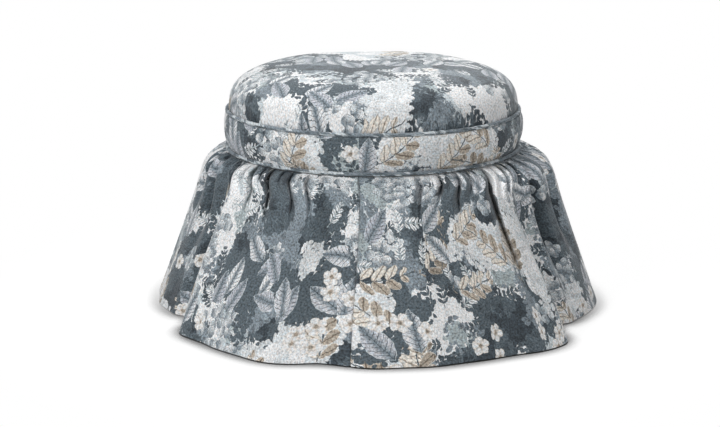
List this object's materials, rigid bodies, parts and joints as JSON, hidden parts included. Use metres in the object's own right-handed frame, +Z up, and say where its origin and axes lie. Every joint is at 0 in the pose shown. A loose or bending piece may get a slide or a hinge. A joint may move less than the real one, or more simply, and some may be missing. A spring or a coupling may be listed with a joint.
{
  "type": "round storage ottoman",
  "caption": "Round storage ottoman: a domed, banded cushion lid lifts off a lined drum that a gathered, floor-length fabric skirt hides.",
  "frame": {"origin": "on the floor, on the drum's axis", "axes": "+Z up along the drum's axis; -Y is the front that the picture shows; +X is the right of that view"},
  "size_m": [0.8477, 0.8668, 0.451],
  "materials": {
    "tapestry": "woven",
    "welt": "woven",
    "lining": "woven",
    "liner_card": "cloth-faced",
    "wadding": "fibre",
    "foam": "open cell",
    "plywood": "raw",
    "hardboard": "raw",
    "card": "raw",
    "dust_cloth": "non-woven",
    "foot_wood": "satin",
    "glide_plastic": "matte",
    "steel": "zinc plated"
  },
  "bodies": {
    "base": {"base_board": "plywood", "dust_cover": "dust_cloth", "liner_floor": "liner_card", "liner_wall": "liner_card", "rim_lining": "lining", "rim_ring": "plywood", "tacking_strip": "card", "under_cover": "lining", "wall_wadding": "wadding", "wall_panel_1": "hardboard", "wall_panel_2": "hardboard", "wall_panel_3": "hardboard", "upright_1": "plywood", "upright_2": "plywood", "upright_3": "plywood", "upright_4": "plywood", "upright_5": "plywood", "upright_6": "plywood", "rim_screw_1": "steel", "rim_screw_2": "steel", "rim_screw_3": "steel", "rim_screw_4": "steel", "rim_screw_5": "steel", "rim_screw_6": "steel", "skirt_panel_1": "tapestry", "skirt_panel_2": "tapestry", "skirt_panel_3": "tapestry", "skirt_panel_4": "tapestry", "foot_1": "foot_wood", "foot_2": "foot_wood", "foot_3": "foot_wood", "foot_4": "foot_wood", "glide_1": "glide_plastic", "glide_2": "glide_plastic", "glide_3": "glide_plastic", "glide_4": "glide_plastic", "foot_screw_1": "steel", "foot_screw_2": "steel", "foot_screw_3": "steel", "foot_screw_4": "steel"},
    "lid": {"band_cover": "tapestry", "lid_board": "plywood", "lid_foam": "foam", "lid_underlining": "lining", "lid_wadding": "wadding", "lower_welt": "welt", "top_cover": "tapestry", "upper_welt": "welt", "locating_block_1": "plywood", "locating_block_2": "plywood", "locating_block_3": "plywood", "locating_block_4": "plywood", "block_screw_1": "steel", "block_screw_2": "steel", "block_screw_3": "steel", "block_screw_4": "steel"}
  },
  "joints": [
    {"name": "lid_lift", "type": "slide", "parent": "base", "child": "lid", "axis": [0, 0, 1], "range_m": [0, 0.3]}
  ]
}
